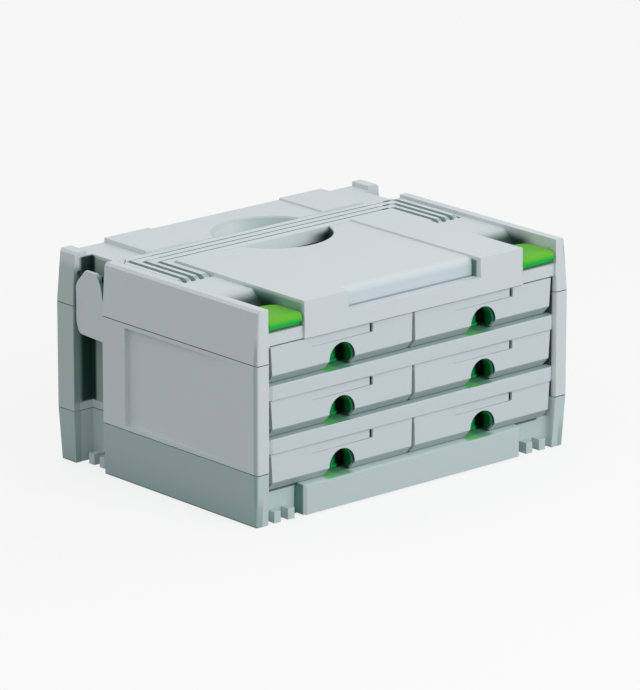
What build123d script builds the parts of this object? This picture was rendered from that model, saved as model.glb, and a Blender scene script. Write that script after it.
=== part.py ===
from build123d import *
from math import atan2, hypot, sin, sqrt, tan
import os

# Drawer organizer case: three stacked shells, six drawers with finger catches,
# a folding carry handle, two front coupling latches and two side coupling latches.
# Millimetres. +X right, +Y to the back, +Z up, origin at the middle of the footprint.

# Outside of the case
case_width = 396.0
case_depth = 296.0
case_height = 210.0
base_height = 51.7          # floor to the joint between base and middle shell
top_height = 52.3           # joint between middle and top shell to the rim
corner_radius = 2.2
base_inset_x = 1.7          # draft of the base shell at the floor
base_inset_y = 3.3
top_inset_x = 3.7           # draft of the top shell at its rim
top_inset_y = 1.6
skin = 3.0                  # moulded wall of the shells
seam_gap = 0.35             # half height of the shadow line at a seam
seam_depth = 1.2

# Construction
over = 1.0                  # cuts run this far past the faces they open
bite = 0.5                  # joined walls reach this far into each other

# Side walls: an outer skin, a front post and an inner wall that guides the drawers
side_room = 26.0            # outside of the case to the inner face of the guide wall
guide_wall = 2.5
mouth_post = 16.0           # the bay widens here for the drawer fronts
mouth_depth = 18.0          # from the front face back to the step
mouth_bevel = 1.6
mouth_bevel_depth = 3.4
column_depth = 25.5         # rear column, behind the side recess that holds the side latch
recess_width = 44.5
grip_panel_rear_gap = 33.0  # ramped hand recess in each side of the middle shell, to the side recess
grip_panel_front_gap = 29.0 # and to the front of the case
grip_panel_depth = 4.9
grip_panel_margin = 4.5     # distance of the panel from both seams

# Screws that tie the three shells together, up from the floor
screw_radius = 2.0
screw_cover = 25.0          # end of the screw below the rim of the case
screw_bore_clearance = 0.1
screw_sink = 1.0            # head above the floor
screw_head_radius = 4.0
screw_head_height = 3.0
screw_head_clearance = 0.3
screw_slot_width = 1.2
screw_slot_depth = 0.8
screw_boss_radius = 5.5
screw_web = 2.0

# Drawer rows
row_count = 3
deck_top = 30.8             # top of the base deck, which carries the lowest drawers
deck_thickness = 3.0
deck_rib = 2.0
deck_rib_lift = 2.0         # ribs under the deck, above the floor
deck_rib_pitch = 115.0
shelf_thickness = 3.0
rail_height = 14.2          # front rail of a shelf
rail_setback = 1.5          # rail face behind the front of the case
rail_wall = 3.0
rail_bevel_x = 4.0
rail_bevel_y = 3.2
rail_edge_radius = 1.0
rail_gusset = 2.0
rail_gusset_pitch = 90.0
shelf_ledge = 3.0
shelf_fit = 0.25            # side clearance of a shelf plate
divider_thickness = 2.4
divider_fit = 0.1
divider_joint_y = 0.0       # shelf and divider are halved into each other from here back

# Drawers
front_setback = 3.4         # drawer face behind the front of the case
drawer_gap = 3.0            # between the two columns of drawer fronts
drawer_side_gap = 3.5       # fronts to the posts of the case
inner_draft = 1.0           # the front narrows downward on both sides
outer_draft = 2.6
front_wall = 3.0
underside_height = 9.1      # slope under the front
underside_depth = 8.0
run_clearance = 0.3
top_clearance = 0.6
tray_wall = 2.0
tray_side_clearance = 0.8
tray_back_gap = 2.7
label_left = -37.4          # label channel, from the middle of the front
label_right = 36.0
label_drop = 9.3
label_depth = 1.8
label_start_depth = 0.6
label_slot = 2.5
label_slot_drop = 0.8
card_rib_setback = 66.6     # rib pairs that hold the partition cards of a drawer
card_rib_pitch = 62.0
card_rib_count = 3
card_rib_reach = 1.4
card_rib_width = 1.4
card_rib_gap = 2.6
card_rib_drop = 4.0

# Finger hole and catch of a drawer
hole_radius = 16.0
catch_inner_radius = 15.0
catch_outer_radius = 17.4
catch_behind = 0.4          # catch behind the front wall
catch_depth = 20.0
catch_back_wall = 1.8
catch_foot_depth = 4.0      # foot under the rear wall of the catch
catch_foot_lift = 0.6       # foot above the shelf
catch_lift = 3.5
catch_seat_gap = 0.3
housing_wall = 1.8
tray_joint_gap = 1.5         # joint of front and tray, behind the catch housing
housing_fit = 0.4
housing_roof_gap = 0.6
housing_ledge = 1.2
housing_ledge_reach = 0.5   # ledge stands back this far from the finger hole

# Plinth and stacking lugs
plinth_end_gap = 43.0       # to the posts of the case
plinth_front = 1.0          # behind the front of the case
plinth_bottom = 1.0
plinth_edge = 3.0
plinth_edge_drop = 1.5
plinth_wall = 2.5
plinth_end_wall = 3.5
plinth_rib = 2.0
plinth_rib_pitch = 60.0
panel_setback = 14.5        # base front panel behind the front of the case
panel_fillet = 8.0
lug_width = 8.0
lug_gap = 9.0
lug_height = 11.0
lug_reach = 10.5
front_lug_gap = 10.0        # plinth to the first lug
side_lug_inset = 11.0       # side recess to its first lug
side_lug_gap = 8.0
side_lug_reach = 13.5

# Levels of the top, below the rim of the case
centre_drop = 1.7
side_drop = 3.5
rear_side_drop = 4.5
roof_wall = 3.2
rim_width = 15.0
rim_bevel = 2.4
rail_width = 55.0           # raised rails of the top, beside the latch pockets
rear_block_gap = 4.5        # front of the side recess to the rear block
column_width = 17.5
lid_drop = 36.4             # lower edge of the front wall of the top shell
lid_clearance = 0.7         # that edge above the line of the rails
front_ledge_drop = 19.5     # ledge of the front finger recess
front_recess_depth = 13.4
front_recess_radius = 8.0
front_groove_width = 2.0    # parting groove at the back of the ledge
front_groove_depth = 2.0

# Carry handle
grip_setback = 65.5         # rear edge of the grip to the back of the case
grip_width = 41.0
arm_inset = 20.0            # arms to the sides of the case
arm_width = 38.0
handle_drop = 2.0           # top of the handle below the rim
handle_thickness = 14.0
handle_corner_cut = 14.5
handle_edge_radius = 2.0
arm_length = 89.5           # pivot to the rear edge of the grip
handle_pivot_drop = 9.0
arm_end = 7.5               # arm in front of its pivot
arm_end_radius = 8.5
handle_gap = 1.0
handle_floor_gap = 0.5
grip_swing_gap = 1.8        # in front of the grip, whose front face swings back
arm_swing_gap = 1.5
handle_groove_pitch = 10.25
handle_groove_width = 1.7
handle_groove_depth = 2.2
arm_slot_width = 5.4
arm_slot_depth = 5.5
arm_slot_offset = 2.6
bowl_centre_setback = 22.5  # middle of the bowl to the rear edge of the grip
bowl_radius = 60.0
bowl_depth = 28.5
bowl_wall = 2.4
bowl_rim_draft = 2.0
bowl_side_pull = 0.75       # how full the bowl's section is, down its side
bowl_floor_pull = 0.62      # and along its floor
handle_pin_radius = 2.5
pin_seat = 5.0
pin_end_gap = 0.3
pin_clearance = 0.08        # running fit in the moving piece
pin_seat_clearance = 0.02

# Front coupling latches
pocket_width = 44.0
pocket_depth = 74.0         # front of the case to the top of the ramp
pocket_ramp = 20.0
pocket_drop = 24.4          # floor below the rim of the case
pocket_wall = 2.5
latch_pivot_setback = 8.5
latch_pivot_lift = 7.3      # above the floor of the pocket
latch_barrel_radius = 6.6
latch_side_gap = 1.6
latch_length = 35.5         # pivot to the rear end
latch_plate_lift = 6.6      # top of the plate above the pivot
latch_plate_thickness = 5.0
latch_edge_radius = 1.5
latch_pin_radius = 2.0
latch_hook_setback = 16.6   # behind the pivot
latch_hook_reach = 4.0
latch_hook_thickness = 3.0
latch_hook_slope = 2.0
latch_hook_margin = 3.0
latch_notch_width = 7.0     # cut-out beside the pin at the right end
latch_notch_height = 4.5

# Side coupling latches
side_plate_inset = 2.4      # face of the plate inside the side of the case
side_plate_thickness = 4.0
side_plate_drop = 14.0      # top of the plate below the rim
side_plate_length = 64.5
side_plate_shoulder_drop = 12.0
side_plate_gap = 1.75       # plate to the walls of its recess
side_plate_neck_inset = 12.0
side_plate_neck = 16.0
side_plate_chamfer = 3.0
side_plate_rear_drop = 6.0
side_plate_heel = 12.0
side_plate_foot = 7.0
side_plate_slant = 1.5
side_plate_cheek_drop = 14.0
side_plate_cheek_inset = 4.0
side_plate_cheek_rise = 2.0
side_pivot_inset = 8.0
side_pivot_drop = 6.5       # below the top of the plate
side_barrel_radius = 5.0
side_barrel_reach = 5.0     # barrel beyond the neck, each way
side_pin_radius = 2.0
side_hook_drop = 18.0       # hook below the pivot
side_hook_reach = 8.0
side_hook_height = 7.0
side_hook_wall = 2.5
side_hook_margin = 6.0
side_rib_depth = 3.0
side_rib = 2.0

# Worked out from the sizes above
half_width = case_width / 2
front_y = -case_depth / 2
back_y = case_depth / 2
step_y = front_y + mouth_depth
lower_seam = base_height
upper_seam = case_height - top_height
bay_half_width = half_width - side_room
mouth_half_width = half_width - mouth_post
recess_back = back_y - column_depth
recess_front = recess_back - recess_width
lid_edge = case_height - lid_drop
row_pitch = (lid_edge - lid_clearance + rail_height - deck_top) / row_count
row_floors = [deck_top + row * row_pitch for row in range(row_count)]
rail_face_y = front_y + rail_setback
face_y = front_y + front_setback
panel_y = front_y + panel_setback
back_inner_y = back_y - skin
base_back_y = back_inner_y - base_inset_y
tray_back = base_back_y - tray_back_gap
drawer_height = row_pitch - rail_height - run_clearance - top_clearance
tray_inner_x = divider_thickness / 2 + tray_side_clearance
tray_outer_x = bay_half_width - tray_side_clearance
front_inner_x = drawer_gap / 2
front_outer_x = mouth_half_width - drawer_side_gap
drawer_front_width = front_outer_x - front_inner_x
front_middle_x = (front_inner_x + front_outer_x) / 2
catch_front_y = face_y + front_wall + catch_behind
recess_x = bay_half_width + guide_wall
deck_rib_top = deck_top - deck_thickness + bite
plinth_half_width = mouth_half_width - plinth_end_gap
centre_level = case_height - centre_drop
side_level = case_height - side_drop
rear_side_level = case_height - rear_side_drop
roof_under = side_level - roof_wall
rim_inner = half_width - rim_width
column_inner = half_width - column_width
rail_outer = rim_inner - pocket_width
rail_inner = rail_outer - rail_width
front_ledge = case_height - front_ledge_drop
grip_back = back_y - grip_setback
grip_front = grip_back - grip_width
arm_outer = half_width - arm_inset
arm_inner = arm_outer - arm_width
handle_top = case_height - handle_drop
handle_bottom = handle_top - handle_thickness
handle_pivot_y = grip_back - arm_length
handle_pivot_z = handle_top - handle_pivot_drop
arm_front_y = handle_pivot_y - arm_end
arm_swing = hypot(arm_end, handle_pivot_z - handle_bottom)
pocket_back = front_y + pocket_depth
pocket_ramp_foot = pocket_back - pocket_ramp
pocket_floor = case_height - pocket_drop
latch_pivot_y = front_y + latch_pivot_setback
latch_pivot_z = pocket_floor + latch_pivot_lift
latch_plate_top = latch_pivot_z + latch_plate_lift
side_pivot_x = half_width - side_pivot_inset
side_plate_top = case_height - side_plate_drop
side_pivot_z = side_plate_top - side_pivot_drop
sky = case_height + over


def block(x0, x1, y0, y1, z0, z1):
    return Pos((x0 + x1) / 2, (y0 + y1) / 2, (z0 + z1) / 2) * Box(x1 - x0, y1 - y0, z1 - z0)


def both(shape):
    return shape + mirror(shape, about=Plane.YZ)


def post(radius, x, y, z0, z1):
    return Pos(x, y, (z0 + z1) / 2) * Cylinder(radius, z1 - z0)


def rod_x(radius, x0, x1, y, z):
    return Pos((x0 + x1) / 2, y, z) * Rot(0, 90, 0) * Cylinder(radius, x1 - x0)


def rod_y(radius, x, y0, y1, z):
    return Pos(x, (y0 + y1) / 2, z) * Rot(90, 0, 0) * Cylinder(radius, y1 - y0)


def plan(points, z0, z1):
    face = make_face(Polyline(*points, close=True))
    return extrude(Pos(0, 0, z0) * face, z1 - z0, dir=(0, 0, 1))


def section(points, x0, x1):
    # outline given as (y, z), drawn out along X
    edges = Polyline(*[(x0, y, z) for y, z in points], close=True)
    return extrude(make_face(edges), x1 - x0, dir=(1, 0, 0))


def elevation(points, y0, y1):
    # outline given as (x, z), drawn out along Y
    edges = Polyline(*[(x, y0, z) for x, z in points], close=True)
    return extrude(make_face(edges), y1 - y0, dir=(0, 1, 0))


def rounded_edge(radius, x0, x1, y, z):
    # cutter for a long front upper edge at (y, z)
    corner = block(x0, x1, y - over, y + radius, z - radius, z + over)
    return corner - rod_x(radius, x0 - over, x1 + over, y + radius, z - radius)


def drafted(z0, z1, inset_x0, inset_y0, inset_x1, inset_y1):
    low = RectangleRounded(case_width - 2 * inset_x0, case_depth - 2 * inset_y0, corner_radius)
    high = RectangleRounded(case_width - 2 * inset_x1, case_depth - 2 * inset_y1, corner_radius)
    return loft([Pos(0, 0, z0) * low, Pos(0, 0, z1) * high])


def seam_shadow(z):
    around = block(-case_width, case_width, -case_depth, case_depth, z - seam_gap, z + seam_gap)
    core = RectangleRounded(case_width - 2 * seam_depth, case_depth - 2 * seam_depth, corner_radius)
    return around - extrude(Pos(0, 0, z - case_height) * core, 2 * case_height)


def bay_and_mouth(z0, z1, inner_back):
    bay = block(-bay_half_width, bay_half_width, step_y - over, inner_back, z0, z1)
    mouth = block(-mouth_half_width, mouth_half_width, front_y - over, step_y, z0, z1)
    bevel = plan([(mouth_half_width - over, front_y - over),
                  (mouth_half_width + mouth_bevel, front_y - over),
                  (mouth_half_width + mouth_bevel, front_y),
                  (mouth_half_width, front_y + mouth_bevel_depth),
                  (mouth_half_width - over, front_y + mouth_bevel_depth)], z0, z1)
    return bay + mouth + both(bevel)


def side_recess(z0, z1):
    return both(block(recess_x, case_width, recess_front, recess_back, z0, z1))


def side_cavities(z0, z1, inset_x, inset_y, ramp=False):
    outer = half_width - skin - inset_x
    front = step_y + skin
    rear = recess_front - skin
    outline = [(recess_x, front), (outer, front)]
    if ramp:
        grip_rear = recess_front - grip_panel_rear_gap
        outline += [(outer, front_y + grip_panel_front_gap), (outer - grip_panel_depth, grip_rear),
                    (outer - grip_panel_depth, grip_rear + skin), (outer, grip_rear + skin)]
    outline += [(outer, rear), (recess_x, rear)]
    main = plan(outline, z0, z1)
    column = block(recess_x, outer, recess_back + skin, back_inner_y - inset_y, z0, z1)
    x, y = list(screw_places())[-1]
    boss = post(screw_boss_radius, x, y, z0 - over, z1 + over)
    web = block(recess_x - over, outer + over, y - screw_web / 2, y + screw_web / 2, z0 - over, z1 + over)
    return both(main + (column - boss - web))


def screw_places():
    for side in (-1, 1):
        yield side * (mouth_half_width + half_width) / 2, (front_y + step_y) / 2
        yield side * (recess_x + half_width) / 2, (recess_back + back_y) / 2


def screw_bores(z0, z1):
    bores = [post(screw_radius + screw_bore_clearance, x, y, z0, z1) for x, y in screw_places()]
    return bores[0] + bores[1:]


def make_case_screws():
    screws = []
    head_top = screw_sink + screw_head_height
    for x, y in screw_places():
        shank = post(screw_radius, x, y, head_top - bite, case_height - screw_cover)
        head = post(screw_head_radius, x, y, screw_sink, head_top)
        slot = block(x - screw_slot_width / 2, x + screw_slot_width / 2, y - case_depth, y + case_depth,
                     screw_sink - over, screw_sink + screw_slot_depth)
        screws.append(shank + head - slot)
    return Compound(children=screws)


def stacking_lugs():
    lugs = []
    front_start, side_start = plinth_half_width + front_lug_gap, recess_front + side_lug_inset
    for start in (front_start, front_start + lug_width + lug_gap):
        lugs.append(block(start, start + lug_width, panel_y - lug_reach, panel_y + over, 0, lug_height))
    for start in (side_start, side_start + lug_width + side_lug_gap):
        lugs.append(block(recess_x - over, recess_x + side_lug_reach, start, start + lug_width, 0, lug_height))
    return both(lugs[0] + lugs[1:])


def make_base_shell():
    shell = drafted(0, lower_seam, base_inset_x, base_inset_y, 0, 0)
    shell -= bay_and_mouth(-over, lower_seam + over, base_back_y)
    shell -= side_recess(-over, lower_seam + over)
    shell -= side_cavities(-over, lower_seam + over, base_inset_x, base_inset_y)
    ledge_top = deck_top - deck_thickness
    ledge = both(block(bay_half_width - shelf_ledge, bay_half_width + bite, step_y, base_back_y + bite,
                       ledge_top - shelf_ledge, ledge_top))
    panel = block(-mouth_half_width - bite, mouth_half_width + bite, panel_y, step_y, 0, deck_top)
    cove_x = mouth_half_width - panel_fillet
    cove_y = panel_y - panel_fillet
    cove = block(cove_x, mouth_half_width + bite, cove_y, panel_y + bite, 0, deck_top)
    cove -= post(panel_fillet, cove_x, cove_y, -over, deck_top + over)
    shell += ledge + panel + both(cove) + stacking_lugs()
    shell -= screw_bores(-over, lower_seam + over)
    for x, y in screw_places():
        shell -= post(screw_head_radius + screw_head_clearance, x, y, -over, screw_sink + screw_head_height)
    return shell - seam_shadow(lower_seam)


def make_base_deck():
    half = bay_half_width - shelf_fit
    deck = block(-half, half, step_y, base_back_y, deck_top - deck_thickness, deck_top)
    rib_half = bay_half_width - shelf_ledge - shelf_fit
    deck += block(-rib_half, rib_half, -deck_rib / 2, deck_rib / 2, deck_rib_lift, deck_rib_top)
    for step in (-0.5, 0.5):
        x = step * deck_rib_pitch
        deck += block(x - deck_rib / 2, x + deck_rib / 2, step_y, base_back_y, deck_rib_lift, deck_rib_top)
    return deck


def grip_panels():
    outside = half_width + over
    front, rear = front_y + grip_panel_front_gap, recess_front - grip_panel_rear_gap
    wedge = plan([(outside, front), (half_width, front), (half_width - grip_panel_depth, rear), (outside, rear)],
                 lower_seam + grip_panel_margin, upper_seam - grip_panel_margin)
    return both(wedge)


def shelf_ledges():
    ledges = []
    for floor in row_floors[1:]:
        top = floor - shelf_thickness
        ledges.append(block(bay_half_width - shelf_ledge, bay_half_width + bite, step_y, back_inner_y + bite,
                            top - shelf_ledge, top))
    return both(ledges[0] + ledges[1:])


def make_middle_shell():
    outline = RectangleRounded(case_width, case_depth, corner_radius)
    shell = extrude(Pos(0, 0, lower_seam) * outline, upper_seam - lower_seam)
    shell -= bay_and_mouth(lower_seam - over, upper_seam + over, back_inner_y)
    shell -= side_recess(lower_seam - over, upper_seam + over)
    shell -= side_cavities(lower_seam - over, upper_seam + over, 0, 0, ramp=True)
    shell -= grip_panels()
    shell += shelf_ledges()
    shell -= screw_bores(lower_seam - over, upper_seam + over)
    return shell - seam_shadow(lower_seam) - seam_shadow(upper_seam)


def handle_channel(grow):
    # room of the folded handle, or its outside once grown by a wall
    spread = handle_gap + grow
    outer = arm_outer + spread
    inner = arm_inner - spread
    back = grip_back + spread
    front = grip_front - grip_swing_gap - grow
    cut = handle_corner_cut + (2 - sqrt(2)) * spread
    swing = arm_swing + arm_swing_gap + grow
    end = handle_pivot_y - swing
    outline = [(-outer, end), (-inner, end), (-inner, front), (inner, front), (inner, end),
               (outer, end), (outer, back - cut), (outer - cut, back), (cut - outer, back), (-outer, back - cut)]
    channel = plan(outline, handle_bottom - handle_floor_gap - grow, sky)
    swing_room = block(inner, outer, end, handle_pivot_y + swing, handle_pivot_z - swing, sky)
    return channel + both(swing_room)


def finger_bowl(grow):
    rim = bowl_radius + grow
    low = centre_level - bowl_depth - grow
    side = centre_level - bowl_side_pull * (bowl_depth + grow)
    outline = make_face(
        Polyline((0, 0, low), (0, 0, sky), (rim, 0, sky), (rim, 0, centre_level))
        + Bezier((rim, 0, centre_level), (rim - bowl_rim_draft, 0, side), (bowl_floor_pull * rim, 0, low), (0, 0, low)))
    return Pos(0, grip_back - bowl_centre_setback, 0) * revolve(outline, Axis.Z)


def latch_pocket(grow):
    inner = rail_outer - grow
    outer = rim_inner + grow
    floor = pocket_floor - grow
    slope = atan2(side_level - pocket_floor, pocket_back - pocket_ramp_foot)
    foot = pocket_ramp_foot + grow * tan(slope / 2)
    top = pocket_back + grow / sin(slope)
    room = block(inner, outer, front_y - over, foot, floor, sky)
    ramp = section([(foot - over, floor), (foot, floor), (top, side_level), (top, sky), (foot - over, sky)],
                   inner, outer)
    return both(room + ramp)


def latch_sills():
    # the front wall under each latch pocket stands back, level with the drawer fronts
    return both(block(rail_outer, mouth_half_width, front_y - over, face_y, lid_edge - over, sky))


def front_finger_recess():
    back = front_y + front_recess_depth
    recess = block(-rail_inner, rail_inner, front_y - over, back, front_ledge, sky)
    groove = block(-rail_inner, rail_inner, back - front_groove_width, back, front_ledge - front_groove_depth, sky)
    return recess + groove + rounded_edge(front_recess_radius, -rail_inner, rail_inner, back, centre_level)


def top_levels():
    centre = block(-rail_inner, rail_inner, front_y - over, back_y + over, centre_level, sky)
    side = both(block(rail_outer, rim_inner, front_y - over, recess_front, side_level, sky))
    block_front = recess_front + rear_block_gap
    rear = both(block(rail_outer, case_width, block_front, recess_back, rear_side_level, sky)
                + block(rail_outer, column_inner, recess_back - over, back_y + over, rear_side_level, sky)
                + block(rail_outer, rim_inner, recess_front - over, block_front + over, side_level, sky))
    return centre + side + rear


def rim_edges():
    # long outer edges of the rims, broken at 45 degrees
    edge = half_width - top_inset_x
    outline = [(edge - rim_bevel - over, sky), (edge + over, sky), (edge + over, case_height - rim_bevel - over)]
    return both(elevation(outline, front_y - over, back_y + over))


def lid_inside():
    mouth_front = front_y + top_inset_y + skin
    bay = block(-bay_half_width, bay_half_width, step_y, back_inner_y - top_inset_y, upper_seam - over, roof_under)
    mouth = block(-mouth_half_width, mouth_half_width, mouth_front, step_y + over, upper_seam - over, roof_under)
    return bay + mouth


def make_top_shell():
    envelope = drafted(upper_seam, case_height, 0, 0, top_inset_x, top_inset_y)
    shell = envelope - lid_inside()
    shell -= side_cavities(upper_seam - over, roof_under, top_inset_x, top_inset_y)
    shell -= bay_and_mouth(upper_seam - over, lid_edge, back_inner_y - top_inset_y)
    recess_wall = block(-rail_inner - skin, rail_inner + skin, front_y, front_y + front_recess_depth + skin,
                        front_ledge - front_groove_depth - skin, case_height)
    sill_wall = both(block(rail_outer - skin, mouth_half_width + bite, front_y, face_y + skin, lid_edge, case_height))
    walls = handle_channel(skin) + finger_bowl(bowl_wall) + latch_pocket(pocket_wall) + recess_wall + sill_wall
    shell += walls & envelope
    shell -= side_recess(upper_seam - over, sky)
    shell -= top_levels()
    shell -= handle_channel(0)
    shell -= finger_bowl(0)
    shell -= latch_pocket(0)
    shell -= latch_sills()
    shell -= front_finger_recess()
    shell -= rim_edges()
    for pins in (handle_pins, latch_pins, side_latch_pins):
        shell -= pins(pin_seat_clearance)
    shell -= screw_bores(upper_seam - over, case_height - screw_cover + bite)
    return shell - seam_shadow(upper_seam)


def handle_pins(grow=0.0):
    return both(rod_x(handle_pin_radius + grow, arm_inner - handle_gap - skin + pin_end_gap,
                      arm_outer + handle_gap + skin - pin_end_gap, handle_pivot_y, handle_pivot_z))


def latch_pins(grow=0.0):
    return both(rod_x(latch_pin_radius + grow, rail_outer - pocket_wall + pin_end_gap, rim_inner + pin_seat,
                      latch_pivot_y, latch_pivot_z))


def side_latch_pins(grow=0.0):
    return both(rod_y(side_pin_radius + grow, side_pivot_x, recess_front - skin + pin_end_gap,
                      recess_back + skin - pin_end_gap, side_pivot_z))


def make_carry_handle():
    corner = arm_outer - handle_corner_cut
    outline = [(-arm_outer, arm_front_y), (-arm_inner, arm_front_y), (-arm_inner, grip_front), (arm_inner, grip_front),
               (arm_inner, arm_front_y), (arm_outer, arm_front_y), (arm_outer, grip_back - handle_corner_cut),
               (corner, grip_back), (-corner, grip_back), (-arm_outer, grip_back - handle_corner_cut)]
    body = plan(outline, handle_bottom, handle_top)
    side = RectangleRounded(grip_back - arm_front_y, handle_thickness, handle_edge_radius)
    profile_plane = Plane.YZ.offset(-arm_outer - over)
    middle = Pos((grip_back + arm_front_y) / 2, (handle_top + handle_bottom) / 2)
    body &= extrude(profile_plane * middle * side, 2 * (arm_outer + over))
    body -= rounded_edge(arm_end_radius, -arm_outer - over, arm_outer + over, arm_front_y, handle_top)
    for step in (1, 2, 3):
        y = grip_back - step * handle_groove_pitch
        x = arm_outer + (y - grip_back) + arm_slot_offset
        half = handle_groove_width / 2
        body -= block(-x, x, y - half, y + half, handle_top - handle_groove_depth, handle_top + over)
        body -= both(block(x - arm_slot_width / 2, x + arm_slot_width / 2, arm_front_y - over, y,
                           handle_top - arm_slot_depth, handle_top + over))
    bore = rod_x(handle_pin_radius + pin_clearance, arm_inner - over, arm_outer + over, handle_pivot_y, handle_pivot_z)
    return body - both(bore)


def make_front_latch(side):
    inner = rail_outer + latch_side_gap
    outer = rim_inner - latch_side_gap
    middle = (inner + outer) / 2
    half = (outer - inner) / 2
    round_depth = half / 2
    low = latch_plate_top - latch_plate_thickness
    straight_end = latch_pivot_y + latch_length - round_depth
    plate = block(inner, outer, latch_pivot_y, straight_end, low, latch_plate_top)
    plate += extrude(Pos(middle, straight_end, low) * Ellipse(half, round_depth), latch_plate_thickness)
    top_edges = plate.faces().sort_by(Axis.Z)[-1].edges()
    plate = fillet(top_edges.filter_by(GeomType.ELLIPSE), latch_edge_radius)
    latch = plate + rod_x(latch_barrel_radius, inner, outer, latch_pivot_y, latch_pivot_z)
    hook_y = latch_pivot_y + latch_hook_setback
    hook_end = hook_y + latch_hook_thickness
    latch += section([(hook_y, low + bite), (hook_y, low - latch_hook_reach),
                      (hook_end, low - latch_hook_reach), (hook_end + latch_hook_slope, low + bite)],
                     inner + latch_hook_margin, outer - latch_hook_margin)
    latch -= rod_x(latch_pin_radius + pin_clearance, inner - over, outer + over, latch_pivot_y, latch_pivot_z)
    latch = latch if side > 0 else mirror(latch, about=Plane.YZ)
    right_end = outer if side > 0 else -inner
    low_front = latch_pivot_z - latch_barrel_radius
    return latch - block(right_end - latch_notch_width, right_end + over, latch_pivot_y - latch_barrel_radius - over,
                         latch_pivot_y - latch_pin_radius - pin_clearance - over, low_front - over,
                         low_front + latch_notch_height)


def make_side_latch(side):
    face = half_width - side_plate_inset
    back = face - side_plate_thickness
    front, rear = recess_front + side_plate_gap, recess_back - side_plate_gap
    neck_front = recess_front + side_plate_neck_inset
    neck_rear = neck_front + side_plate_neck
    shoulder = side_plate_top - side_plate_shoulder_drop
    low = side_plate_top - side_plate_length
    outline = [(neck_front, side_plate_top), (neck_rear, side_plate_top),
               (rear - side_plate_chamfer, shoulder), (rear, shoulder - side_plate_rear_drop),
               (rear, low + side_plate_heel), (rear - side_plate_chamfer, low + side_plate_chamfer),
               (rear - side_plate_foot, low), (front, low - side_plate_slant),
               (front, shoulder - side_plate_cheek_drop),
               (front + side_plate_cheek_inset, shoulder + side_plate_cheek_rise)]
    plate = section(outline, back, face)
    barrel = rod_y(side_barrel_radius, side_pivot_x, neck_front - side_barrel_reach, neck_rear + side_barrel_reach,
                   side_pivot_z)
    hook_front, hook_rear = front + side_hook_margin, rear - side_hook_margin
    hook_low = side_pivot_z - side_hook_drop
    tip = back - side_hook_reach
    hook = block(tip, back + bite, hook_front, hook_rear, hook_low, hook_low + side_hook_wall)
    hook += block(tip, tip + side_hook_wall, hook_front, hook_rear, hook_low, hook_low + side_hook_height)
    ribs = [block(back - side_rib_depth, back + bite, y - side_rib / 2, y + side_rib / 2,
                  low + side_hook_margin, hook_low + bite)
            for y in (hook_front + side_rib, (front + rear) / 2, hook_rear - side_rib)]
    latch = plate + barrel + hook + ribs
    latch -= rod_y(side_pin_radius + pin_clearance, side_pivot_x, front - over, rear + over, side_pivot_z)
    return latch if side > 0 else mirror(latch, about=Plane.YZ)


def make_front_plinth():
    top = deck_top
    y0 = front_y + plinth_front
    y1 = panel_y
    bar = section([(y1, plinth_bottom), (y1, top), (y0 + plinth_edge, top), (y0, top - plinth_edge_drop),
                   (y0, plinth_bottom)], -plinth_half_width, plinth_half_width)
    end = plinth_half_width
    corner = plan([(end - plinth_edge, y0 - over), (end + over, y0 - over), (end + over, y0 + plinth_edge),
                   (end, y0 + plinth_edge), (end - plinth_edge, y0)], 0, top + over)
    bar -= both(corner)
    inside = end - plinth_end_wall
    bar -= block(-inside, inside, y0 + plinth_wall, y1 + over, 0, top - plinth_wall)
    for step in (-1.5, -0.5, 0.5, 1.5):
        x = step * plinth_rib_pitch
        bar += block(x - plinth_rib / 2, x + plinth_rib / 2, y0 + plinth_wall - bite, y1,
                     plinth_bottom, top - plinth_wall + bite)
    return bar


def make_shelf(level):
    floor = row_floors[level]
    under = floor - shelf_thickness
    low = floor - rail_height
    rail_half = mouth_half_width - shelf_fit
    plate_half = bay_half_width - shelf_fit
    rail_back = step_y - shelf_fit
    wall_y = rail_face_y + rail_wall
    plate = block(-plate_half, plate_half, step_y - over, back_inner_y, under, floor)
    head = plan([(-rail_half, rail_face_y + rail_bevel_y), (rail_bevel_x - rail_half, rail_face_y),
                 (rail_half - rail_bevel_x, rail_face_y), (rail_half, rail_face_y + rail_bevel_y),
                 (rail_half, rail_back), (-rail_half, rail_back)], low, floor)
    inside = rail_half - rail_wall
    head -= block(-inside, inside, wall_y, step_y + over, low - over, under)
    for step in (-1.5, -0.5, 0.5, 1.5):
        x = step * rail_gusset_pitch
        head += block(x - rail_gusset / 2, x + rail_gusset / 2, wall_y - bite, rail_back - rail_gusset,
                      low, under + bite)
    shelf = plate + head
    shelf -= rounded_edge(rail_edge_radius, -rail_half - over, rail_half + over, rail_face_y, floor)
    slot = divider_thickness / 2 + divider_fit
    return shelf - block(-slot, slot, divider_joint_y, back_y, under - over, floor + over)


def make_centre_divider():
    half = divider_thickness / 2
    front = face_y + underside_depth + over
    wall = block(-half, half, front, base_back_y - divider_fit, deck_top, lid_edge)
    for floor in row_floors[1:]:
        wall -= block(-half - over, half + over, front - over, divider_joint_y + divider_fit,
                      floor - shelf_thickness - divider_fit, floor + divider_fit)
        wall -= block(-half - over, half + over, front - over, step_y + 2 * over,
                      floor - rail_height - divider_fit, floor + divider_fit)
    return wall


def arch(radius, shelf, y0, y1, low):
    # round at the top, straight down from the height where the slope of the front starts
    middle = shelf + run_clearance + underside_height
    tunnel = rod_y(radius, 0, y0, y1, middle) & block(-radius, radius, y0, y1, middle - over, middle + radius)
    return tunnel + block(-radius, radius, y0, y1, low, middle)


def behind_front(floor, setback, back, low, top, x0, x1):
    # room behind the upright part and the slope of a drawer front, parallel to both
    steep = underside_depth / underside_height
    return section([(face_y + setback, top), (face_y + setback, floor + underside_height),
                    (face_y + setback + steep * (underside_height + floor - low), low), (back, low), (back, top)],
                   x0, x1)


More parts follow.
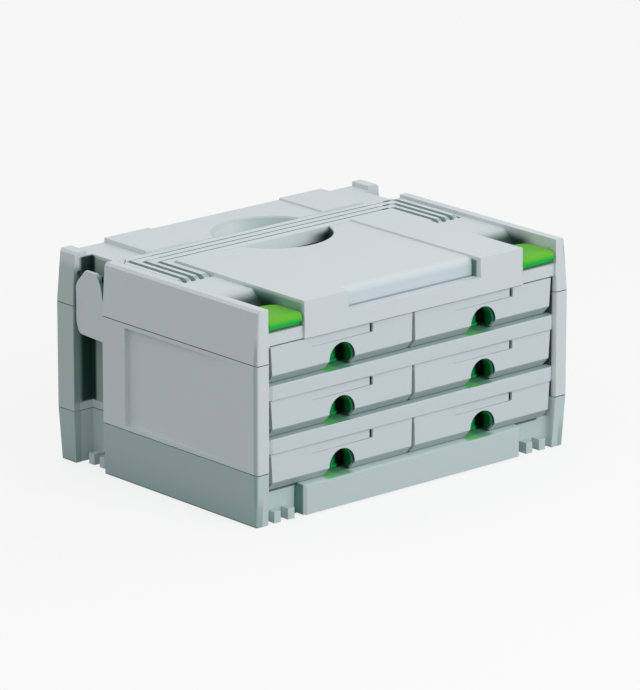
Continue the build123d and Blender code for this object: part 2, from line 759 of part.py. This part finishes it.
def make_drawer(row, column):
    # modelled with the middle of its front at x = 0, then moved to its column
    floor = row_floors[row] + run_clearance
    top = floor + drawer_height
    half = drawer_front_width / 2
    tray_front = face_y + underside_depth
    front_back = tray_front + front_wall
    inner_edge, outer_edge = -column * half, column * half
    inner_low, outer_low = inner_edge + column * inner_draft, outer_edge - column * outer_draft
    front = elevation([(inner_edge, top), (outer_edge, top), (outer_low, floor), (inner_low, floor)],
                      face_y, front_back)
    shift = -column * front_middle_x
    tray_left, tray_right = sorted((column * tray_inner_x + shift, column * tray_outer_x + shift))
    well_left, well_right = tray_left + tray_wall, tray_right - tray_wall
    tray = block(tray_left, tray_right, tray_front, tray_back, floor, top)
    well = behind_front(floor, front_wall, tray_back - tray_wall, floor + tray_wall, top + over,
                        well_left, well_right)
    drawer = front + tray - well + card_ribs(well_left, well_right, floor + tray_wall, top)
    drawer = with_catch_housing(drawer, row_floors[row])
    steep = underside_height / underside_depth
    slope = section([(face_y - over, floor + underside_height + steep * over), (face_y - over, floor - over),
                     (tray_front, floor - over), (tray_front, floor)], -half - over, half + over)
    return Pos(column * front_middle_x, 0, 0) * (drawer - slope - label_channel(top))


def drawer_parts(row, column):
    # the front with its catch housing, and the tray behind the joint
    drawer = make_drawer(row, column)
    joint = catch_front_y + catch_depth + housing_fit + housing_wall + tray_joint_gap
    behind = block(-case_width, case_width, joint, case_depth, 0, case_height)
    return drawer - behind, drawer & behind


def card_ribs(left, right, floor, top):
    ribs = []
    for count in range(card_rib_count):
        middle = face_y + underside_depth + card_rib_setback + count * card_rib_pitch
        for side in (-1, 1):
            near = middle + side * card_rib_gap / 2
            y0, y1 = sorted((near, near + side * card_rib_width))
            for x0, x1 in ((left - bite, left + card_rib_reach), (right - card_rib_reach, right + bite)):
                ribs.append(block(x0, x1, y0, y1, floor - bite, top - card_rib_drop))
    return ribs[0] + ribs[1:]


def with_catch_housing(drawer, shelf):
    # box behind the finger hole in which the catch rides up and down
    inside = catch_outer_radius + housing_fit
    outside = inside + housing_wall
    back = catch_front_y + catch_depth + housing_fit
    floor = shelf + run_clearance
    roof = floor + underside_height + catch_outer_radius + catch_lift + housing_roof_gap
    drawer += behind_front(floor, front_wall - bite, back + housing_wall, floor, roof + housing_wall, -outside, outside)
    drawer -= behind_front(floor, front_wall, back, floor + housing_ledge, roof, -inside, inside)
    ledge_inner = hole_radius + housing_ledge_reach
    drawer -= behind_front(floor, front_wall, back, shelf - over, roof, -ledge_inner, ledge_inner)
    drawer -= arch(hole_radius, shelf, face_y - over, catch_front_y, shelf - over)
    return drawer - block(-hole_radius, hole_radius, face_y - over, back, shelf - over, floor + underside_height)


def label_channel(top):
    low = top - label_drop
    wedge = plan([(label_left, face_y - over), (label_left, face_y + label_start_depth),
                  (label_right, face_y + label_depth),
                  (label_right, face_y - over)], low, top + over)
    return wedge + block(label_right, label_right + label_slot, face_y - over, face_y + front_wall + over,
                         low, top - label_slot_drop)


def make_catch(row, column):
    shelf = row_floors[row]
    floor = shelf + run_clearance
    top = floor + underside_height + catch_outer_radius
    back = catch_front_y + catch_depth
    inner_back = back - catch_back_wall
    leg_low = floor + housing_ledge + catch_seat_gap
    foot_low = shelf + catch_foot_lift
    foot_half = hole_radius + housing_ledge_reach - housing_fit
    cup = arch(catch_outer_radius, shelf, catch_front_y, back, leg_low)
    cup -= arch(catch_inner_radius, shelf, catch_front_y - over, inner_back, shelf)
    cup += block(-foot_half, foot_half, back - catch_foot_depth, back, foot_low, leg_low + catch_back_wall)
    cup &= behind_front(floor, front_wall + catch_behind, back, shelf, top, -catch_outer_radius, catch_outer_radius)
    return Pos(column * front_middle_x, 0, 0) * cup


row_names = ["lower", "middle", "upper"]
column_names = {-1: "left", 1: "right"}

nodes = {
    "base_shell": make_base_shell(),
    "base_deck": make_base_deck(),
    "middle_shell": make_middle_shell(),
    "top_shell": make_top_shell(),
    "front_plinth": make_front_plinth(),
    "lower_shelf": make_shelf(1),
    "upper_shelf": make_shelf(2),
    "centre_divider": make_centre_divider(),
    "case_screws": make_case_screws(),
    "carry_handle": make_carry_handle(),
    "handle_pins": handle_pins(),
    "front_latch_pins": latch_pins(),
    "side_latch_pins": side_latch_pins(),
}
for column, side_name in column_names.items():
    nodes["front_latch_" + side_name] = make_front_latch(column)
    nodes["side_latch_" + side_name] = make_side_latch(column)
    for row, row_name in enumerate(row_names):
        front, tray = drawer_parts(row, column)
        nodes["drawer_front_" + row_name + "_" + side_name] = front
        nodes["drawer_tray_" + row_name + "_" + side_name] = tray
        nodes["drawer_catch_" + row_name + "_" + side_name] = make_catch(row, column)

os.makedirs("parts", exist_ok=True)
for name, shape in nodes.items():
    export_step(shape, os.path.join("parts", name + ".step"))
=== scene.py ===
import bmesh
import bpy
from math import radians
from mathutils import Matrix, Vector


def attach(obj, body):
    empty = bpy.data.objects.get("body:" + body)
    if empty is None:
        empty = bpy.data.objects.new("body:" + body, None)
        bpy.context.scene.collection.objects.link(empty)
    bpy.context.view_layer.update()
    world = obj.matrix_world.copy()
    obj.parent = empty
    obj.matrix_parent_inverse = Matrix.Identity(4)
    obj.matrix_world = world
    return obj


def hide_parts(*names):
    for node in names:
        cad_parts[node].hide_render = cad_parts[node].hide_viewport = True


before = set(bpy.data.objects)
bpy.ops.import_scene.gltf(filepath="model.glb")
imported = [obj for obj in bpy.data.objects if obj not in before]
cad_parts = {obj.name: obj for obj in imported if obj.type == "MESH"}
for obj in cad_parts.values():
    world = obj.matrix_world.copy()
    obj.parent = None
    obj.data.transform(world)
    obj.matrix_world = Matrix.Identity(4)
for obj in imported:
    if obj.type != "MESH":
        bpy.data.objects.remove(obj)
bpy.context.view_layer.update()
print("frame: loaded", len(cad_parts), "nodes")

rowNames = ("lower", "middle", "upper")
sideNames = ("left", "right")

# what repeats from drawer to drawer, in metres
drawerGrid = {
    "deckTop": 0.0308,     # top of the deck under the lowest drawers
    "pitch": 0.0521,       # one row to the next
    "below": 0.0145,       # how far Row counts down from each deck or shelf top
    "halfColumn": 0.090,   # middle of the case to the middle of a drawer
}


class Signal:
    # wraps one output socket, so that shader maths reads as plain expressions
    def __init__(self, finish, socket):
        self.finish = finish
        self.socket = socket

    def __add__(self, other):
        return self.finish.maths("ADD", self, other)

    def __radd__(self, other):
        return self.finish.maths("ADD", other, self)

    def __sub__(self, other):
        return self.finish.maths("SUBTRACT", self, other)

    def __rsub__(self, other):
        return self.finish.maths("SUBTRACT", other, self)

    def __mul__(self, other):
        return self.finish.maths("MULTIPLY", self, other)

    def __rmul__(self, other):
        return self.finish.maths("MULTIPLY", other, self)


class Finish:
    # the nodes of one material, or of the world
    def __init__(self, owner):
        self.owner = owner
        owner.use_nodes = True
        self.tree = owner.node_tree
        self.tree.nodes.clear()

    def add(self, kind, settings=None, sockets=None, output=0):
        node = self.tree.nodes.new(kind)
        for key, value in (settings or {}).items():
            setattr(node, key, value)
        for key, value in (sockets or {}).items():
            if isinstance(value, Signal):
                self.tree.links.new(value.socket, node.inputs[key])
            else:
                node.inputs[key].default_value = value
        return Signal(self, node.outputs[output]) if len(node.outputs) else None

    def maths(self, operation, *values):
        return self.add("ShaderNodeMath", {"operation": operation}, dict(enumerate(values)))

    def place(self):
        return self.add("ShaderNodeTexCoord", output="Object")

    def noise(self, scale, detail, rough=0.5, vector=None):
        return self.add("ShaderNodeTexNoise", {}, {
            "Vector": vector or self.place(), "Scale": scale, "Detail": detail, "Roughness": rough})

    def mix(self, mask, under, over):
        # a colour is a signal or its three channels
        under, over = (tone if isinstance(tone, Signal) else (*tone, 1.0) for tone in (under, over))
        return self.add("ShaderNodeMix", {"data_type": "RGBA"},
                        {"Factor": mask, 6: under, 7: over}, output=2)

    def coordinate(self, axis):
        # X is the distance from the middle plane, and Side keeps its sign
        source = {"Row": "Z", "Column": "X", "Side": "X"}.get(axis, axis)
        value = self.add("ShaderNodeSeparateXYZ", {}, {"Vector": self.place()}, output=source)
        if axis == "X":
            return self.maths("ABSOLUTE", value)
        if axis == "Row":  # height over the nearest deck or shelf top
            below = drawerGrid["below"]
            return self.maths("MODULO", value + (below - drawerGrid["deckTop"]),
                              drawerGrid["pitch"]) - below
        if axis == "Column":  # sideways from the middle of each drawer
            half = drawerGrid["halfColumn"]
            return self.maths("MODULO", value + 2 * half, 2 * half) - half
        return value

    def rise(self, value, middle, soft):
        return self.add("ShaderNodeMapRange", {"interpolation_type": "SMOOTHSTEP"}, {
            "Value": value, "From Min": middle - soft, "From Max": middle + soft})

    def inside(self, box):
        mask = box["amount"]
        for axis, (low, high, soft) in box["axes"].items():
            value = self.coordinate(axis)
            mask = self.rise(value, low, soft) * mask
            mask = mask * (1 - self.rise(value, high, soft))
        return mask

    def cover(self, colour, patches):
        for box in patches:
            colour = self.mix(self.inside(box), colour, box["shade"])
        return colour

    def bump(self, height, distance, strength):
        return self.add("ShaderNodeBump", {}, {
            "Height": height, "Distance": distance, "Strength": strength})

    def surface(self, shader):
        self.add("ShaderNodeOutputMaterial", {}, {"Surface": shader})
        return self.owner


def patch(shade, amount, **axes):
    # colour laid over a box with soft edges, each axis as (low, high, softness) in metres; all
    # patches here are painted shade and painted light
    return {"shade": shade, "amount": amount, "axes": axes}


# what all mouldings share: flow marks and grain in the colour, grain and handling in the sheen
plasticSkin = {"flowShare": 0.7, "flowDetail": 3.0, "grainShare": 0.3, "grainDetail": 2.0,
               "grainSheen": 0.06, "handlingFiner": 4.7, "handlingDetail": 4.0, "noiseRough": 0.6}
noiseMiddle = 0.5


def mouldedPlastic(name, look):
    paint = Finish(bpy.data.materials.new(name))
    skin = plasticSkin
    low = [channel * (1 - look["mottle"]) for channel in look["colour"]]
    high = [min(1.0, channel * (1 + look["mottle"])) for channel in look["colour"]]
    flow = paint.noise(look["flowScale"], skin["flowDetail"])
    handling = paint.noise(look["flowScale"] * skin["handlingFiner"], skin["handlingDetail"],
                           skin["noiseRough"])
    grain = paint.noise(look["grainScale"], skin["grainDetail"], skin["noiseRough"])
    base = paint.mix(flow * skin["flowShare"] + grain * skin["grainShare"], low, high)
    roughness = (look["roughness"] + (handling - noiseMiddle) * look["sheenSpread"]
                 + (grain - noiseMiddle) * skin["grainSheen"])
    shader = paint.add("ShaderNodeBsdfPrincipled", {}, {
        "Base Color": paint.cover(base, look["patches"]),
        "Roughness": roughness,
        "Specular IOR Level": look["specular"],
        "Normal": paint.bump(grain, look["grainDepth"], look["grainStrength"]),
    })
    return paint.surface(shader)


def zincSteel(name, look):
    # drawn rod: streaks along its length and a dull zinc bloom
    paint = Finish(bpy.data.materials.new(name))
    along = paint.add("ShaderNodeMapping", {}, {
        "Vector": paint.place(), "Scale": look["streakStretch"]})
    streaks = paint.noise(look["streakScale"], look["streakDetail"], look["streakRough"], along)
    bloom = paint.noise(look["bloomScale"], look["bloomDetail"])
    shader = paint.add("ShaderNodeBsdfPrincipled", {}, {
        "Base Color": paint.mix(bloom, look["dull"], look["bright"]),
        "Metallic": 1.0,
        "Roughness": look["roughness"] + (streaks - noiseMiddle) * look["streakSheen"],
        "Normal": paint.bump(streaks, look["streakDepth"], look["streakStrength"]),
    })
    return paint.surface(shader)


def coat(mesh, material):
    mesh.materials.clear()
    mesh.materials.append(material)


def repaint(nodeName, material):
    coat(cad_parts[nodeName].data, material)


# lengths in metres, angles in degrees
edgeWork = {"weldWithin": 1e-6, "flatWithin": 0.4, "fromAngle": 32.0, "segments": 2}


def softEdges(nodeName, body, material, width):
    # the node's own shape with its sharp moulded edges broken
    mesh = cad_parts[nodeName].data.copy()
    mesh.name = nodeName + "Soft"
    working = bmesh.new()
    working.from_mesh(mesh)
    bmesh.ops.remove_doubles(working, verts=working.verts, dist=edgeWork["weldWithin"])
    bmesh.ops.dissolve_limit(working, angle_limit=radians(edgeWork["flatWithin"]),
                             verts=working.verts, edges=working.edges)
    working.to_mesh(mesh)
    working.free()
    if mesh.has_custom_normals:
        mesh.attributes.remove(mesh.attributes["custom_normal"])
    piece = bpy.data.objects.new(nodeName + "_soft", mesh)
    bpy.context.scene.collection.objects.link(piece)
    mesh.shade_smooth()
    bevel = piece.modifiers.new("brokenEdges", "BEVEL")
    bevel.width = width
    bevel.segments = edgeWork["segments"]
    bevel.limit_method = "ANGLE"
    bevel.angle_limit = radians(edgeWork["fromAngle"])
    bevel.use_clamp_overlap = False
    bevel.harden_normals = True
    coat(mesh, material)
    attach(piece, body)
    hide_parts(nodeName)


# camera, fitted to the photograph's corners
viewpoint = {
    "location": (-3.4013, -3.8818, 1.6437),
    "right": (0.75124, -0.66003, 0.0),
    "up": (0.18830, 0.21432, 0.95845),
    "back": (-0.63260, -0.72002, 0.28529),
    "lens": 290.83,
    "sensor": 36.0,
    "farthest": 60.0,
}
cameraData = bpy.data.cameras.new("photoCamera")
cameraData.lens = viewpoint["lens"]
cameraData.sensor_width = viewpoint["sensor"]
cameraData.clip_end = viewpoint["farthest"]
camera = bpy.data.objects.new("photoCamera", cameraData)
turn = Matrix([viewpoint["right"], viewpoint["up"], viewpoint["back"]]).transposed().to_4x4()
camera.matrix_world = Matrix.Translation(Vector(viewpoint["location"])) @ turn
bpy.context.scene.collection.objects.link(camera)
bpy.context.scene.camera = camera
print("camera: placed")

# middle and top shell
# painted shadow for the seams and for the gaps between parts
seamShadow = (0.04, 0.06, 0.055)
gapShadow = (0.02, 0.06, 0.055)
shellLook = {
    "colour": (0.630, 0.690, 0.703), "mottle": 0.012, "flowScale": 14.0,
    "grainScale": 1500.0, "grainDepth": 0.00004, "grainStrength": 0.35,
    "roughness": 0.47, "sheenSpread": 0.07, "specular": 0.34, "edgeWidth": 0.0002,
    "patches": [
        # painted shadow in the seams between the shells
        patch(seamShadow, 0.85, Z=(0.0513, 0.0521, 0.0001)),
        patch(seamShadow, 0.85, Z=(0.1573, 0.1581, 0.0001)),
        # latch pockets: painted shade with the latch's green reflection on the inner wall, then
        # painted deep shade at the end behind the latch
        patch((0.16, 0.37, 0.285), 0.86, X=(0.1380, 0.1400, 0.0002), Y=(-0.144, -0.060, 0.006),
              Z=(0.180, 0.2070, 0.002)),
        patch((0.010, 0.040, 0.030), 0.97, X=(0.1382, 0.1845, 0.0004), Y=(-0.108, -0.070, 0.012),
              Z=(0.150, 0.2035, 0.006)),
        # painted deep shade on the post beside the drawer fronts
        patch((0.01, 0.035, 0.028), 0.92, X=(0.1800, 0.1835, 0.0005), Y=(-0.1430, -0.100, 0.0006),
              Z=(0.0515, 0.1730, 0.0004)),
        # painted shade on the front corner of the sides
        patch((0.20, 0.34, 0.30), 0.50, X=(0.1966, 0.200, 0.0006), Y=(-0.1476, -0.1425, 0.0008)),
        # side recess: painted shade on the inner wall, then painted teal shade on the edge beside
        # the latch
        patch((0.20, 0.34, 0.285), 0.60, X=(0.168, 0.1765, 0.0006), Y=(0.0775, 0.1185, 0.001),
              Z=(0.060, 0.2025, 0.0003)),
        patch((0.09, 0.25, 0.20), 0.80, X=(0.186, 0.1972, 0.0008), Y=(0.1205, 0.1235, 0.0004),
              Z=(0.060, 0.1935, 0.004)),
        # painted deep shade on its rear wall, on the left only, and painted shade on the strip of
        # side behind it
        patch((0.002, 0.030, 0.020), 0.99, Side=(-0.1885, -0.1700, 0.0030),
              Y=(0.1170, 0.1265, 0.0020), Z=(0.060, 0.2045, 0.0010)),
        patch((0.25, 0.37, 0.345), 0.45, X=(0.1905, 0.200, 0.0005), Y=(0.1215, 0.150, 0.001),
              Z=(0.0, 0.1975, 0.006)),
        # front finger recess: bluer painted shade on its rear wall, a painted shadow line in the
        # crease under it, painted deep shade at its right end
        patch((0.50, 0.585, 0.67), 0.55, X=(0.0, 0.0856, 0.0006), Y=(-0.1370, -0.1262, 0.004),
              Z=(0.1895, 0.2045, 0.005)),
        patch((0.30, 0.38, 0.45), 0.80, X=(0.0, 0.0862, 0.0004), Y=(-0.1368, -0.1340, 0.0002),
              Z=(0.1860, 0.1914, 0.0004)),
        patch((0.02, 0.12, 0.08), 0.88, Side=(0.0836, 0.0865, 0.0003),
              Y=(-0.1408, -0.1330, 0.0018), Z=(0.1880, 0.2066, 0.0008)),
        # painted deep shade at the right end of the bowl in front of the grip, then painted shade
        # on its shallow end behind the grip
        patch((0.003, 0.030, 0.020), 0.98, Side=(0.026, 0.090, 0.012), Y=(-0.005, 0.060, 0.004),
              Z=(0.170, 0.2066, 0.001)),
        patch((0.36, 0.48, 0.48), 0.65, Side=(0.010, 0.070, 0.016), Y=(0.084, 0.125, 0.001),
              Z=(0.190, 0.2064, 0.001)),
    ],
}
shellPlastic = mouldedPlastic("shellPlastic", shellLook)
for nodeName in ("middle_shell", "top_shell"):
    softEdges(nodeName, "case", shellPlastic, shellLook["edgeWidth"])


def paintedCatchBounce(row):
    # painted green bounce light of a finger catch on what lies under it, brighter on the left
    return [
        patch((0.10, 0.36, 0.21), 0.80, Y=(-0.1455, -0.118, 0.001), Row=row,
              Column=(-0.018, 0.0125, 0.004)),
        patch((0.16, 0.56, 0.19), 0.90, Y=(-0.1455, -0.118, 0.001), Row=row,
              Column=(-0.019, -0.003, 0.0035)),
    ]


# base shell, deck and plinth
baseLook = dict(shellLook, colour=(0.520, 0.630, 0.635), patches=[
    # painted shadow in the lower seam
    patch(seamShadow, 0.85, Z=(0.0513, 0.0521, 0.0001)),
    # sides: painted shade as a darker tone, darker still towards the floor, a painted shadow along
    # the lower edge, painted shade on the front corner
    patch((0.37, 0.50, 0.487), 0.90, X=(0.1895, 0.200, 0.0004), Y=(-0.1462, 0.150, 0.0006)),
    patch((0.19, 0.32, 0.28), 0.45, X=(0.1895, 0.200, 0.0004), Y=(-0.1462, 0.150, 0.0006),
          Z=(-0.060, 0.010, 0.030)),
    patch((0.03, 0.09, 0.075), 0.85, X=(0.1950, 0.200, 0.0005), Z=(-0.002, 0.0011, 0.0003)),
    patch((0.19, 0.33, 0.29), 0.55, X=(0.1966, 0.200, 0.0006), Y=(-0.1476, -0.1425, 0.0008)),
    # deck under the drawers: painted shadow in the gap line, then the catches' painted green bounce
    # light
    patch(gapShadow, 0.85, X=(0.0, 0.172, 0.001), Y=(-0.1362, -0.120, 0.0003),
          Row=(-0.003, 0.001, 0.0005)),
    *paintedCatchBounce((-0.004, 0.0002, 0.0002)),
    # painted shade on the ends of the plinth
    patch((0.06, 0.23, 0.17), 0.80, X=(0.1386, 0.1404, 0.0002), Y=(-0.151, -0.110, 0.0005),
          Z=(-0.001, 0.0305, 0.0005)),
])
basePlastic = mouldedPlastic("basePlastic", baseLook)
for nodeName in ("base_shell", "base_deck", "front_plinth"):
    softEdges(nodeName, "case", basePlastic, baseLook["edgeWidth"])
print("shells: dressed")

# shelves and divider
shelfLook = dict(
    shellLook, colour=(0.585, 0.655, 0.690), roughness=0.42, flowScale=11.0, edgeWidth=0.0004,
    patches=[
        # painted shade on the upper edge of the rail, painted shadow in the gap line, painted green
        # bounce light
        patch((0.26, 0.375, 0.355), 0.60, Y=(-0.1452, -0.120, 0.0006),
              Row=(-0.0006, 0.001, 0.0004)),
        patch(gapShadow, 0.85, Y=(-0.1362, -0.120, 0.0003), Row=(-0.003, 0.001, 0.0005)),
        *paintedCatchBounce((-0.003, 0.001, 0.0005)),
    ])
shelfPlastic = mouldedPlastic("shelfPlastic", shelfLook)
for nodeName in ("lower_shelf", "upper_shelf"):
    softEdges(nodeName, "case", shelfPlastic, shelfLook["edgeWidth"])
repaint("centre_divider", shelfPlastic)
print("shelves: dressed")

# drawers
drawerLook = dict(
    shellLook, colour=(0.600, 0.668, 0.702), roughness=0.42, grainStrength=0.22, flowScale=18.0,
    edgeWidth=0.00022, patches=[
        # painted shade on the sloping lower edge and painted shadow in the gap under it
        patch((0.27, 0.39, 0.37), 0.55, Y=(-0.1436, -0.1345, 0.0008), Row=(0.0, 0.0088, 0.0006)),
        patch(gapShadow, 0.85, Y=(-0.1368, -0.120, 0.0003), Row=(0.0, 0.0012, 0.0003)),
        # painted near-black shadow on the cut edge of the finger hole, painted shade on the lower
        # edge of the label channel
        patch((0.002, 0.015, 0.008), 0.95, Y=(-0.1442, -0.1410, 0.0001),
              Row=(0.0, 0.0262, 0.0002), Column=(0.004, 0.0161, 0.0002)),
        patch((0.25, 0.30, 0.33), 0.60, Y=(-0.1445, -0.1420, 0.0001),
              Row=(0.0276, 0.0283, 0.0001), Column=(-0.0375, 0.0358, 0.0004)),
        # painted light on the end face in the gap beside the post
        patch((0.90, 0.94, 0.98), 1.0, Y=(-0.150, -0.120, 0.001),
              Column=(-0.0900, -0.08835, 0.00010)),
    ])
drawerPlastic = mouldedPlastic("drawerPlastic", drawerLook)
for rowName in rowNames:
    for sideName in sideNames:
        drawerName = rowName + "_" + sideName
        for portion in ("drawer_front_", "drawer_tray_"):
            softEdges(portion + drawerName, "drawer_" + drawerName + "_body",
                      drawerPlastic, drawerLook["edgeWidth"])
print("drawers: dressed")

# finger catches
catchLook = dict(
    shellLook, colour=(0.003, 0.380, 0.100), roughness=0.30, mottle=0.03, specular=0.30,
    grainStrength=0.08, sheenSpread=0.05, edgeWidth=0.0003, patches=[
        # painted shade on the right side, painted black in the depth, painted highlight on the rim
        # at the front
        patch((0.003, 0.085, 0.025), 0.85, Y=(-0.1394, -0.118, 0.001),
              Column=(0.0125, 0.020, 0.002)),
        patch((0.0, 0.004, 0.001), 0.97, Y=(-0.1315, -0.118, 0.003),
              Column=(0.0092, 0.020, 0.0015)),
        patch((0.03, 0.37, 0.16), 0.90, Y=(-0.1430, -0.1394, 0.0004),
              Column=(-0.004, 0.020, 0.002)),
    ])
catchGreen = mouldedPlastic("catchGreen", catchLook)
for rowName in rowNames:
    for sideName in sideNames:
        nodeName = "drawer_catch_" + rowName + "_" + sideName
        softEdges(nodeName, nodeName + "_body", catchGreen, catchLook["edgeWidth"])
print("catches: dressed")

# latches
frontLatchLook = dict(
    shellLook, colour=(0.010, 0.500, 0.060), roughness=0.40, mottle=0.03, specular=0.12,
    grainStrength=0.10, sheenSpread=0.05, edgeWidth=0.0005, patches=[
        # painted light on the top, in a yellower green, and painted shade on the underside
        patch((0.130, 0.480, 0.035), 1.0, Z=(0.1940, 0.210, 0.0024)),
        patch((0.005, 0.060, 0.015), 0.9, Z=(0.180, 0.1875, 0.0008)),
    ])
frontLatchGreen = mouldedPlastic("frontLatchGreen", frontLatchLook)
sideLatchLook = dict(
    shellLook, colour=(0.620, 0.680, 0.720), roughness=0.42, flowScale=20.0, edgeWidth=0.0006,
    patches=[
        # painted shade on the bearing behind the plate, painted teal shade on the front edge of the
        # plate
        patch((0.02, 0.06, 0.045), 0.93, X=(0.0, 0.1922, 0.0003)),
        patch((0.05, 0.20, 0.15), 0.85, X=(0.0, 0.1953, 0.0002), Y=(0.070, 0.0885, 0.001)),
    ])
sideLatchPlastic = mouldedPlastic("sideLatchPlastic", sideLatchLook)
for sideName in sideNames:
    nodeName = "front_latch_" + sideName
    softEdges(nodeName, nodeName + "_body", frontLatchGreen,
              frontLatchLook["edgeWidth"])
    nodeName = "side_latch_" + sideName
    softEdges(nodeName, nodeName + "_body", sideLatchPlastic,
              sideLatchLook["edgeWidth"])
print("latches: dressed")

# grooves of the grip, counted from the handle's rear edge and from its right corner; their ends get
# painted black shadow
grooves = {"steps": (1, 2, 3), "pitch": 0.01025, "rearEdge": 0.0825, "corner": 0.1806,
           "halfWidth": 0.0022, "darkFrom": 0.0135, "darkTo": 0.0050}


def grooveEndShadow(step):
    # painted black shadow at the end of one groove
    middle = grooves["rearEdge"] - step * grooves["pitch"]
    corner = grooves["corner"] - step * grooves["pitch"]
    return patch((0.001, 0.008, 0.006), 0.99,
                 Side=(corner - grooves["darkFrom"], corner - grooves["darkTo"], 0.001),
                 Y=(middle - grooves["halfWidth"], middle + grooves["halfWidth"], 0.0002),
                 Z=(0.1990, 0.2080, 0.00003))


# carry handle
handleLook = dict(
    shellLook, colour=(0.625, 0.695, 0.720), roughness=0.42, flowScale=16.0, edgeWidth=0.00025,
    patches=[
        # painted shade in the slots of the arms and in the grooves of the grip
        patch((0.30, 0.40, 0.385), 0.80, X=(0.1405, 0.200, 0.0003), Y=(-0.012, 0.0805, 0.0004),
              Z=(0.1990, 0.2078, 0.0001)),
        patch((0.17, 0.25, 0.29), 0.92, X=(0.0, 0.1405, 0.0003), Y=(0.0430, 0.0805, 0.0004),
              Z=(0.1990, 0.20795, 0.00005)),
        # painted deep shade on the front face of the grip over the deep end of the bowl
        patch((0.002, 0.045, 0.028), 0.97, Side=(0.0400, 0.080, 0.0150),
              Y=(0.030, 0.0424, 0.0002), Z=(0.170, 0.2030, 0.0035)),
        *(grooveEndShadow(step) for step in grooves["steps"]),
    ])
handlePlastic = mouldedPlastic("handlePlastic", handleLook)
softEdges("carry_handle", "handle", handlePlastic, handleLook["edgeWidth"])
print("handle: dressed")

# pins and screws
pinLook = {
    "dull": (0.46, 0.47, 0.48), "bright": (0.66, 0.67, 0.68), "roughness": 0.34,
    "bloomScale": 90.0, "bloomDetail": 2.0, "streakScale": 600.0, "streakDetail": 3.0,
    "streakRough": 0.6, "streakStretch": (0.05, 1.0, 1.0), "streakSheen": 0.18,
    "streakDepth": 0.00001, "streakStrength": 0.5,
}
pinSteel = zincSteel("pinSteel", pinLook)
for nodeName in ("case_screws", "handle_pins", "front_latch_pins"):
    repaint(nodeName, pinSteel)
# the side latch pins are painted nearly black: painted shade, where they sit in the recess
sidePinLook = dict(pinLook, dull=(0.040, 0.055, 0.050), bright=(0.075, 0.090, 0.085),
                   roughness=0.50)
repaint("side_latch_pins", zincSteel("shadedPinSteel", sidePinLook))
print("pins: dressed")

# floor, backdrop and light tent
backdropLook = {
    "bounce": 0.32, "shown": 0.16, "floorGlow": 0.793, "floorReach": 14.0, "floorDrop": 0.0004,
    "backdrop": 0.939, "dome": 0.78, "lean": 0.05,
}
white = (1.0, 1.0, 1.0, 1.0)


def seenDirectly(paint):
    # 1 for camera, mirror and glass rays, 0 for the light that reaches the object
    straight, mirrored, refracted = [
        paint.add("ShaderNodeLightPath", output=name)
        for name in ("Is Camera Ray", "Is Glossy Ray", "Is Transmission Ray")]
    return paint.maths("MINIMUM", straight + mirrored + refracted, 1.0)


floorPaint = Finish(bpy.data.materials.new("paleFloor"))
seen = seenDirectly(floorPaint)
floorTone = floorPaint.mix(seen, [backdropLook["bounce"]] * 3, [backdropLook["shown"]] * 3)
matte = floorPaint.add("ShaderNodeBsdfDiffuse", {}, {"Color": floorTone})
glow = floorPaint.add("ShaderNodeEmission", {}, {
    "Color": white, "Strength": seen * backdropLook["floorGlow"]})
reach = backdropLook["floorReach"]
floorMesh = bpy.data.meshes.new("floor")
floorMesh.from_pydata([(-reach, -reach, 0), (reach, -reach, 0), (reach, reach, 0),
                       (-reach, reach, 0)], [], [(0, 1, 2, 3)])
coat(floorMesh, floorPaint.surface(floorPaint.add("ShaderNodeAddShader", {}, {0: matte, 1: glow})))
floor = bpy.data.objects.new("floor", floorMesh)
floor.location.z = -backdropLook["floorDrop"]
bpy.context.scene.collection.objects.link(floor)

# the tent is a little dimmer on the left
world = bpy.data.worlds.new("studioRoom")
bpy.context.scene.world = world
worldPaint = Finish(world)
seen = seenDirectly(worldPaint)
toward = worldPaint.add("ShaderNodeTexCoord", output="Generated")
across = worldPaint.add("ShaderNodeSeparateXYZ", {}, {"Vector": toward}, output="X")
dome = (1.0 + across * backdropLook["lean"]) * backdropLook["dome"]
strength = dome + seen * (backdropLook["backdrop"] - dome)
sky = worldPaint.add("ShaderNodeBackground", {}, {"Color": white, "Strength": strength})
worldPaint.add("ShaderNodeOutputWorld", {}, {"Surface": sky})

# one soft box in front, at the right
keyBox = {"from": (0.24, -2.10, 1.23), "aim": (0.0, 0.0, 0.10), "size": 0.9, "power": 19.0}
lampData = bpy.data.lights.new("keyBox", "AREA")
lampData.size = keyBox["size"]
lampData.energy = keyBox["power"]
lamp = bpy.data.objects.new("keyBox", lampData)
lamp.location = keyBox["from"]
aim = Vector(keyBox["aim"]) - lamp.location
lamp.rotation_mode = "QUATERNION"
lamp.rotation_quaternion = aim.to_track_quat("-Z", "Y")
bpy.context.scene.collection.objects.link(lamp)
bpy.context.scene.view_settings.view_transform = "Standard"
print("stage: lit")
